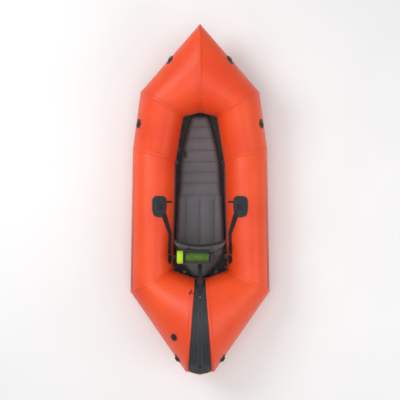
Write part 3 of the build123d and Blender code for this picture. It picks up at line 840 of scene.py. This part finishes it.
def cover(name, node, sources):
    """Black cover welded under the tubes, cut to its outline in plan."""
    bm = bmesh.new()
    for source in sources:
        part = panels[source]
        lifted = part.data.copy()
        points = coords(part) + vertex_normals(part) * 0.00125
        lifted.vertices.foreach_set("co", points.astype(np.float32).ravel())
        edited(lifted, lower_half)
        bm.from_mesh(lifted)
    outlines = [[(x * MM, y * MM) for x, y in shape] for shape in (COVER_EDGE, WELL_EDGE)]
    for outline in outlines:
        for i, (x0, y0) in enumerate(outline):
            x1, y1 = outline[i - 1]
            out = Vector((y1 - y0, x0 - x1, 0)).normalized()
            bisected(bm, Vector((x0, y0, 0)), out)
    gone = []
    for face in bm.faces:
        spot = face.calc_center_median()
        kept = (inside(outlines[0], spot.x, spot.y) and face.normal.z < COVER_TOP
                and not inside(outlines[1], spot.x, spot.y) and spot.z < COVER_TOP)
        if not kept:
            gone.append(face)
    bmesh.ops.delete(bm, geom=gone, context="FACES")
    obj = linked(name, bm)
    thick = obj.modifiers.new("Thickness", "SOLIDIFY")
    thick.thickness = 0.0009
    thick.offset = 0.0
    finish_piece(obj, black_fabric, "hull", "tpu_black")
    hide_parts(node)


for part in ("bow", "forward", "side", "stern"):
    cover("cover_" + part, part + "_cover", [part + "_tube" + tail for tail, _ in SIDES])
cover("cover_gusset", "gusset_cover", ["stern_gusset"])


def seam_tape(key, side, names):
    """Rows across the tape welded over a mitre, laid on the panels on both sides of
    it: a row is (point, normal, lift) for each offset, or None where a ray misses."""
    tree = BVHTree.FromBMesh(outer_shells(*names))
    centre, run, normal = mitre_frame(key, side)
    offsets = (-0.0118, -0.0115, -0.0055, 0.0, 0.0055, 0.0115, 0.0118)
    lifts = (-0.0004, 0.00045, 0.0005, 0.0004, 0.0005, 0.00045, -0.0004)
    rows = []
    steps = 220
    for i in range(steps + 1):
        turn = 2 * math.pi * (i + RAY_TURN) / steps
        way = run * math.cos(turn) + UP * math.sin(turn)
        row = []
        for offset, lift in zip(offsets, lifts):
            start = centre + normal * (offset or 0.0007) + way * 0.45
            hit = tree.ray_cast(start, -way, 0.45)
            if hit[0] is None:
                row = None
                break
            up = hit[1] if hit[1].dot(way) > 0 else -hit[1]
            row.append((hit[0], up, lift))
        rows.append(row)
    return rows


def taped(name, key, side, names):
    """Lays the tape: black over the covers, orange elsewhere, none under the floor."""
    runs = {"orange": [], "black": []}
    last = None
    rows = seam_tape(key, side, names)
    for row in rows:
        if row is None:
            last = None
            continue
        spot = row[3][0]
        plan = (spot.x / MM, spot.y / MM)
        if inside(WELL_EDGE, *plan):
            if spot.z < floor_height(spot.x) + SHEET_TOP:
                last = None
                continue
            kind = "orange"
        else:
            low = spot.z < COVER_TOP and inside(COVER_EDGE, *plan)
            kind = "black" if low else "orange"
        if kind != last:
            if last:
                runs[last][-1].append(row)
            runs[kind].append([])
        runs[kind][-1].append(row)
        last = kind
    for kind, material, slot in (("orange", orange_tape, "tpu_orange"),
                                 ("black", black_tape, "tpu_black")):
        for i, rows in enumerate(runs[kind]):
            if len(rows) > 1:
                flat_strip(f"tape_{name}_{kind}_{i}", rows, material, "hull", slot)


taped("bow", "bow", 1, ["bow_tube_port", "bow_tube_starboard", "bow_cover"])
for tail, side in SIDES:
    for key, ahead, behind in (("shoulder", "bow", "forward"),
                               ("forward", "forward", "side"), ("aft", "side", "stern")):
        taped(key + tail, key, side, [ahead + "_tube" + tail, behind + "_tube" + tail,
                                      ahead + "_cover", behind + "_cover"])
    taped("gusset" + tail, "gusset", side,
          ["stern_tube" + tail, "stern_gusset", "stern_cover", "gusset_cover"])

# ---- the floor mat
MAT_LOW = 0.0019  # underside, over the sheet's underside
MAT_THICK = 0.062
mat_half = [
    (556, 40), (545, 54), (467, 78), (333, 111), (230, 129), (60, 136),
    (20, 146), (-250, 160), (-350, 160), (-425, 118), (-512, 36),
]
mat_plan = [(x * MM, y * MM) for x, y in mat_half]
mat_plan = mat_plan + [(x, -y) for x, y in reversed(mat_plan)]
mat_plan = round_corners(mat_plan, 0.016)
cross_seams = [0.482, 0.407, 0.327, 0.252, 0.183, 0.112, 0.040]
long_seams = [-0.096, 0.0, 0.096]
SPLIT = 0.032  # cross channels ahead of this, long ones behind


def channel(value, seams, ends, depth):
    """Dip below the crown between sewn lines, and distance to the nearest line."""
    lines = np.array(sorted([ends[0], *seams, ends[1]]))
    i = np.clip(np.searchsorted(lines, value) - 1, 0, len(lines) - 2)
    low, high = lines[i], lines[i + 1]
    u = np.clip((value - low) / (high - low), 0, 1)
    dip = depth * (2 * u - 1) ** 2
    close = np.minimum(np.abs(value - low), np.abs(value - high))
    return dip + depth * 0.5 * np.exp(-close / 0.0035), close


def mat_lines(grid):
    """The mat's dip and distance to its sewn lines: cross ones ahead, long ones aft."""
    x, y = grid[:, 0], grid[:, 1]
    across_dip, across_close = channel(x, cross_seams[:-1], (SPLIT, 0.556), 0.0052)
    along_dip, along_close = channel(y, long_seams, (-0.175, 0.175), 0.0062)
    ahead = x > SPLIT
    share = np.clip((SPLIT - x) / 0.05, 0, 1)
    along_dip = along_dip * share + 0.007 * np.exp(-(SPLIT - x) / 0.006)
    dip = np.where(ahead, across_dip, along_dip)
    close = np.where(ahead, across_close, np.minimum(along_close, np.abs(SPLIT - x)))
    fade = np.clip((x + 0.345) / 0.06, 0, 1)
    dip = np.where(ahead, dip, dip * (0.35 + 0.65 * fade))
    return dip, close


def mat_halves(grid, away):
    """Thickness over and under the mat's middle surface."""
    dip, _ = mat_lines(grid)
    edge = rounding(away, 0.030)
    crown = 0.0305 * edge
    rough = np.array([noise.noise(Vector((p[0] * 30, p[1] * 30, 0))) for p in grid])
    top = crown - dip * edge - 0.0006 * edge * (0.5 + 0.5 * rough)
    return np.maximum(top, 0), np.maximum(crown - 0.3 * dip * edge, 0)


def mat_place(grid, w):
    middle = floor_height(grid[:, 0]) + MAT_LOW + MAT_THICK / 2
    return np.column_stack([grid[:, 0], grid[:, 1], middle + w])


mat = pad("floor_mat_puffed", mat_plan, 250, 64, mat_halves, mat_place, grey_mat,
          "hull", "mat_grey", lambda grid: np.exp(-(mat_lines(grid)[1] / 0.0035) ** 2))
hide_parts("floor_mat")
edge_line = [(x * 1.001, y * 1.001, floor_height(np.array(x)) + MAT_LOW + MAT_THICK / 2)
             for x, y in mat_plan]
rows = []
for i in range(len(edge_line) + 1):
    x, y, z = edge_line[i % len(edge_line)]
    ahead = Vector(edge_line[(i + 1) % len(edge_line)]) - Vector(edge_line[i - 1])
    out = ahead.cross(UP).normalized()
    if out.dot(Vector((x, y, 0))) < 0:
        out = -out
    spot = Vector((x, y, float(z)))
    rows.append([(spot + out * o, UP, h)
                 for o, h in ((-0.006, 0.0008), (0.0014, 0.0007), (0.0018, 0.0),
                              (0.0014, -0.0007), (-0.006, -0.0008))])
flat_strip("mat_edge_weld", rows, grey_mat, "hull", "mat_grey")

# ---- the backrest
LEAN = math.radians(15)
FOOT = Vector((-0.352, 0, 0.113))
FORE = Vector((math.cos(LEAN), 0, -math.sin(LEAN)))
TALL = Vector((math.sin(LEAN), 0, math.cos(LEAN)))
BACK_R = 0.345
BACK_THICK = 0.027
back_shape = [
    (0, -58), (0, 58), (92, 128), (176, 160), (252, 166), (282, 150),
    (296, 60), (296, -60), (282, -150), (252, -166), (176, -160), (92, -128),
]


def back_outline(by):
    """The shape, drawn in by some millimetres, with its corners rounded."""
    made = []
    for h, y in back_shape:
        low = 1 if h < 150 else -1
        made.append(((h + by * low) * MM, (y - by * (1 if y > 0 else -1)) * MM))
    return round_corners(made, 0.012)


def back_place(grid, t):
    """Points of the curved back: grid holds height and plan y, t is depth."""
    radius = BACK_R + BACK_THICK / 2 + t
    y = grid[:, 1]
    x = BACK_R - np.sqrt(np.maximum(radius ** 2 - y ** 2, 1e-9))
    spot = (np.array(FOOT) + x[:, None] * np.array(FORE)
            + grid[:, :1] * np.array(TALL))
    spot[:, 1] = y
    return spot


WING = 0.078
back_rows = [0.105, 0.200]


def wing_line(h):
    """Distance from the middle of the two upright sewn lines."""
    return WING - 0.10 * (h - 0.15) ** 2 / 0.15


def back_lines(grid):
    """Distance to the sewn lines: two upright ones, and cross rows between."""
    h, y = grid[:, 0], grid[:, 1]
    curve = wing_line(h)
    upright = np.abs(np.abs(y) - curve)
    cross = np.min([np.abs(h - r) for r in back_rows], axis=0)
    cross = np.where(np.abs(y) < curve, cross, 1.0)
    return np.minimum(upright, cross)


def back_halves(grid, away):
    close = back_lines(grid)
    edge = rounding(away, 0.022)
    dip = 0.0048 * np.exp(-(close / 0.010) ** 2) + 0.0028 * np.exp(-close / 0.0025)
    crown = 0.0088 + 0.0022 * np.clip(away / 0.06, 0, 1)
    thick = np.maximum(crown * edge - dip * edge, 0.0009 * (away > 0))
    return thick, thick


backrest = pad("backrest_pad", back_outline(4.6), 88, 96, back_halves, back_place,
               grey_cloth, None, None,
               lambda grid: np.exp(-(back_lines(grid) / 0.0022) ** 2))
seam_layer = backrest.data.attributes["seam"]
held = np.zeros(len(backrest.data.vertices), np.float32)
seam_layer.data.foreach_get("value", held)
inflate(backrest, 0.0026, 4.0, held > 0.30)
finish_piece(backrest, grey_cloth, "backrest", "backrest_grey")
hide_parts("backrest")
rounded_copy("backrest_binding", "backrest_piping", 0.0014, binding)

lines = []
for sign in (1, -1):
    heights = np.linspace(0.012, 0.284, 60)
    curve = wing_line(heights) * sign
    grid = np.column_stack([heights, curve])
    for t in (-0.0072, 0.0072):
        spots = back_place(grid, np.full(len(grid), t))
        ups = spots - back_place(grid, np.zeros(len(grid)))
        lines.append(list(zip(spots, ups)))
stitches("backrest_stitches", lines, "backrest", pitch=0.0052)
rounded_copy("backrest_foot_flap", "backrest_flap", 0.0005, strap_web)

# ---- the throw bag
BAG = Vector((-0.3645, 0, 0.348))
BAG_R = 0.043
RIGHT, POCKET = -0.064, 0.108  # blind end, and the pocket's open end


def bag_surface(y, turn):
    """Radius of the bag at a place along it: soft folds, gathered at the end."""
    spot = Vector((y * 22, math.cos(turn) * 1.2, math.sin(turn) * 1.2))
    sag = 0.0011 * (0.5 + 0.5 * noise.noise(spot))
    folds = 0.5 + 0.5 * math.sin(turn * 17 + 2.2 * math.sin(turn * 3 + y * 30))
    free = min(1.0, max(0.0, (y - POCKET + 0.004) / 0.022))
    close = min(1.0, max(0.0, (y - 0.132) / 0.016))
    return BAG_R - 0.0006 - sag - 0.0016 * folds * free - 0.0016 * folds * close


CAP = 0.009  # length of the rounded blind end
GATHER = 0.139  # where the open end starts to draw in
body_ys = np.linspace(RIGHT + CAP, GATHER, 70)
# Places along the bag, each with its share of the full radius.
stack = [(RIGHT + 0.0004, s) for s in (0.02, 0.2, 0.4, 0.6, 0.74)]
stack += [(RIGHT + CAP - 0.0086 * math.cos(a), 0.79 + 0.21 * math.sin(a))
          for a in np.linspace(0.05, math.pi / 2, 7)]
stack += [(y, 1.0) for y in body_ys[1:]]
stack += [(GATHER + 0.0082 * math.sin(a), 0.80 + 0.20 * math.cos(a))
          for a in np.linspace(0.2, math.pi / 2, 7)]
stack += [(0.1472 - 0.0012 * (0.8 - s), s) for s in (0.72, 0.6, 0.45, 0.3, 0.18, 0.06)]
ROUND = 120
verts = []
for y, scale in stack:
    for q in range(ROUND):
        turn = 2 * math.pi * q / ROUND
        radius = bag_surface(y, turn) * scale
        gather = 0.0
        if y > 0.1462:
            gather = -0.0012 * (0.5 + 0.5 * math.sin(turn * 17)) * min(1, scale * 1.2)
        verts.append((BAG.x - radius * math.cos(turn), y + gather,
                      BAG.z + radius * math.sin(turn)))
faces = ring_faces(len(stack), ROUND)
faces.append(tuple(reversed(range(ROUND))))
faces.append(tuple(range((len(stack) - 1) * ROUND, len(stack) * ROUND)))
bag = make("throw_bag_cloth", verts, faces, olive, "backrest", "bag_lime")
bag.data.materials.append(lime)


def lime_end(bm):
    faces_outward(bm)
    for face in bm.faces:
        if face.calc_center_median().y > POCKET - 0.006:
            face.material_index = 1


edited(bag.data, lime_end)
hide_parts("throw_bag")
rounded_copy("bag_sleeve", "bag_pocket", 0.0005, pocket_cloth)
rounded_copy("bag_sleeve_rim", "pocket_rim", 0.0008, binding)
rounded_copy("bag_end_cross", "bag_cross", 0.0005, strap_web)


# ---- thigh pads, straps
pad_plan = [
    (26, 232), (26, 284), (8, 304), (-62, 306), (-100, 296),
    (-112, 266), (-108, 224), (-40, 216), (8, 217),
]
pad_outline = round_corners([(x * MM, y * MM) for x, y in pad_plan], 0.010)
inner_outline = round_corners(
    [((x + 43) * 0.80 * MM - 0.043, (y - 261) * 0.76 * MM + 0.261) for x, y in pad_plan],
    0.010)


def pad_builder(side, tail):
    """The thigh pad on one side, with its loop, its webbing tail and its stitches."""
    tree = hull_trees["side_tube" + tail]
    body = "thigh_strap" + tail

    def place(grid, w):
        made = []
        for (x, y), lift in zip(grid, w):
            hit = tree.ray_cast(Vector((x, y * side, 0.6)), -UP, 0.6)
            up = hit[1] if hit[1].z > 0 else -hit[1]
            made.append(hit[0] + up * (0.0051 + lift))
        return np.array([tuple(p) for p in made])

    def halves(grid, away):
        ring = edge_distance(grid, inner_outline)
        edge = rounding(away, 0.0065)
        dip = 0.0016 * np.exp(-(ring / 0.0026) ** 2)
        crown = 0.0030 + 0.0009 * np.clip(away / 0.03, 0, 1)
        thick = crown * edge - dip * edge
        return np.maximum(thick, 0), np.maximum(crown * edge, 0) * 0.98

    obj = pad("thigh_pad_soft" + tail, pad_outline, 56, 48, halves, place, neoprene,
              body, "neoprene",
              lambda grid: np.exp(-(edge_distance(grid, inner_outline) / 0.0018) ** 2))
    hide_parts("thigh_pad" + tail)
    loop_rows = []
    for x in np.linspace(-0.060, -0.028, 12):
        row = []
        for y, lift in ((0.2305, -0.0010), (0.231, 0.0012), (0.240, 0.0014),
                        (0.2525, 0.0030), (0.265, 0.0030), (0.2775, 0.0014),
                        (0.2865, 0.0012), (0.287, -0.0010)):
            spot = place(np.array([[x, y]]), [0.0038])[0]
            up = place(np.array([[x, y]]), [0.0048])[0] - spot
            row.append((Vector(spot), Vector(up).normalized(), lift))
        loop_rows.append(row)
    flat_strip("thigh_pad_loop" + tail, loop_rows, strap_web, body, "webbing")
    tail_rows = []
    for k in range(13):
        share = k / 12
        x = -0.088 - 0.044 * share
        y = 0.2365 - 0.0195 * share
        row = []
        high = 0.0103 if share < 0.35 else 0.0103 - 0.0063 * min(1, (share - 0.35) / 0.4)
        for offset, drop in ((-0.0125, 0.0016), (-0.0122, 0.0002), (-0.006, 0.0),
                             (0.006, 0.0), (0.0122, 0.0002), (0.0125, 0.0016)):
            spot = np.array([[x - offset * 0.30, y + offset]])
            base = place(spot, [-0.0051])[0]
            up = Vector(place(spot, [0.0])[0] - base).normalized()
            row.append((Vector(base), up, high - drop))
        tail_rows.append(row)
    flat_strip("thigh_pad_tail" + tail, tail_rows, strap_web, body, "webbing")
    box_lines = []
    for y0, y1 in ((0.2325, 0.2395), (0.2785, 0.2855)):
        corners = [(-0.058, y0), (-0.030, y0), (-0.030, y1), (-0.058, y1), (-0.058, y0),
                   (-0.030, y1), (-0.030, y0), (-0.058, y1)]
        flat = np.array(resampled([(x, y, 0) for x, y in corners], 0.003))[:, :2]
        tops = place(flat, np.full(len(flat), 0.0053))
        box_lines.append(list(zip(tops, tops - place(flat, np.zeros(len(flat))))))
    stitches("thigh_loop_stitches" + tail, box_lines, body, pitch=0.0034)
    ring = np.array(resampled([(x, y, 0) for x, y in inner_outline], 0.002, True))
    spots = place(ring[:, :2], np.full(len(ring), 0.0026))
    ups = spots - place(ring[:, :2], np.zeros(len(ring)))
    stitches("thigh_pad_stitches" + tail, [list(zip(spots, ups))], body, pitch=0.0048)


def on_strip(tree, side, spots):
    """Points and normals of a strip's face, met from the midline at each (x, z)."""
    line = []
    for x, z in spots:
        hit = tree.ray_cast(Vector((x, 0, z)), Vector((0, side, 0)), 0.4)
        if hit[0] is not None:
            up = hit[1] if hit[1].y * side < 0 else -hit[1]
            line.append((hit[0] + up * 0.0001, up))
    return line


for tail, side in SIDES:
    pad_builder(side, tail)
    rounded_copy("thigh_webbing" + tail, "thigh_web" + tail, 0.0004, strap_web)
    rounded_copy("thigh_side_strip" + tail, "thigh_strip" + tail, 0.0004, strip_web)
    tree = BVHTree.FromBMesh(outer_shells("thigh_strip" + tail))
    lines = [on_strip(tree, side, [(x, z) for x in np.linspace(-0.228, 0.246, 120)])
             for z in (0.1565, 0.2075)]
    lines += [on_strip(tree, side, [(x + dx, z) for z in np.linspace(0.160, 0.204, 14)])
              for x in (-0.20, -0.10, 0.0, 0.10, 0.20) for dx in (-0.006, 0.006)]
    stitches("strip_stitches" + tail, [line for line in lines if len(line) > 2], "hull",
             pitch=0.005)

# The back strap, from the backrest up to its buckle on the deck.
STRAP_LOW = Vector((-0.345, 0, 0.254))
STRAP_HIGH = Vector((-0.509, 0, 0.373))
strap = rounded_copy("back_strap_web", "back_strap", 0.0004, strap_web,
                     cuts=(STRAP_LOW, STRAP_HIGH, 24))
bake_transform(strap)
rounded_copy("deck_anchor_web", "deck_anchor", 0.0004, strap_web)

# ---- the cargo zip
DECK = Vector((-0.800, 0, 0.108))  # centre of the stern deck's arc
TAPE_RADIUS = 0.38968  # just over the zip tape
lines = []
for sign in (1, -1):
    for away in (0.0085, 0.0130):
        line = []
        for turn in np.linspace(29.5, -39.5, 130):
            a = math.radians(turn)
            up = Vector((math.sin(a), 0, math.cos(a)))
            line.append((DECK + up * TAPE_RADIUS + Vector((0, away * sign, 0)), up))
        lines.append(line)
stitches("zip_tape_stitches", lines, "hull", pitch=0.0045)

# ---- finishes of CAD nodes
finishes = (
    (black_fabric, "floor_sheet"),
    (black_plastic, "drain_rings mat_valve mat_valve_cap zip_stops valve_base "
                    "valve_poppet valve_cap back_buckle bag_lock"),
    (zip_cloth, "zip_panel"), (coil, "zip_chain"), (slider_metal, "zip_slider"),
    (pull_red, "zip_pull"), (window_net, "pocket_mesh"),
    (patch_rubber, "thigh_patches bow_patches mid_patches stern_patches"),
    (strap_web, "bow_tabs mid_tabs stern_tabs"),
    (ring_plastic, "bow_ring_port bow_ring_starboard mid_ring_port "
                   "mid_ring_starboard stern_ring_port stern_ring_starboard"),
)
for material, names in finishes:
    for node in names.split():
        nodes[node].data.materials.clear()
        nodes[node].data.materials.append(material)


# ---- floor, light, camera
def studio():
    """Pale floor, even white surroundings and three soft lamps."""
    mesh = bpy.data.meshes.new("studio_floor")
    mesh.from_pydata([(-30, -30, 0), (30, -30, 0), (30, 30, 0), (-30, 30, 0)], [],
                     [(0, 1, 2, 3)])
    floor = linked("studio_floor", mesh)
    mat, tree, bsdf, place = shader("floor_paint", Roughness=0.9)
    tone = ramp(noise_node(place, 1.5, 2.0), 0.3, 0.7)
    tree.links.new(mixed(tone, (0.90, 0.90, 0.90), (0.93, 0.93, 0.93)),
                   bsdf.inputs["Base Color"])
    mesh.materials.append(mat)
    world = bpy.data.worlds.new("studio_world")
    bpy.context.scene.world = world
    world.use_nodes = True
    sky = world.node_tree.nodes["Background"].inputs
    sky["Color"].default_value = (1, 1, 1, 1)
    sky["Strength"].default_value = 0.52
    for name, place, power, size in (
        ("key", (1.4, 2.6, 3.6), 74.0, 2.2),
        ("fill", (-1.2, -3.2, 3.0), 38.0, 2.8),
        ("top", (-0.4, 0.2, 4.6), 44.0, 3.0),
    ):
        light = bpy.data.lights.new(name, "AREA")
        light.energy = power
        light.shape = "DISK"
        light.size = size
        lamp = linked(name, light)
        lamp.location = place
        lamp.rotation_mode = "QUATERNION"
        lamp.rotation_quaternion = (Vector((0, 0, 0.2)) - lamp.location).to_track_quat(
            "-Z", "Y")


studio()
camera = linked("camera", bpy.data.cameras.new("camera"))
camera.data.lens = 90.0
camera.data.sensor_width = 36.0
camera.location = (0.0, 0.0, 6.72)
camera.rotation_euler = (0.0, 0.0, -math.pi / 2)
bpy.context.scene.camera = camera
bpy.context.scene.view_settings.view_transform = "Standard"
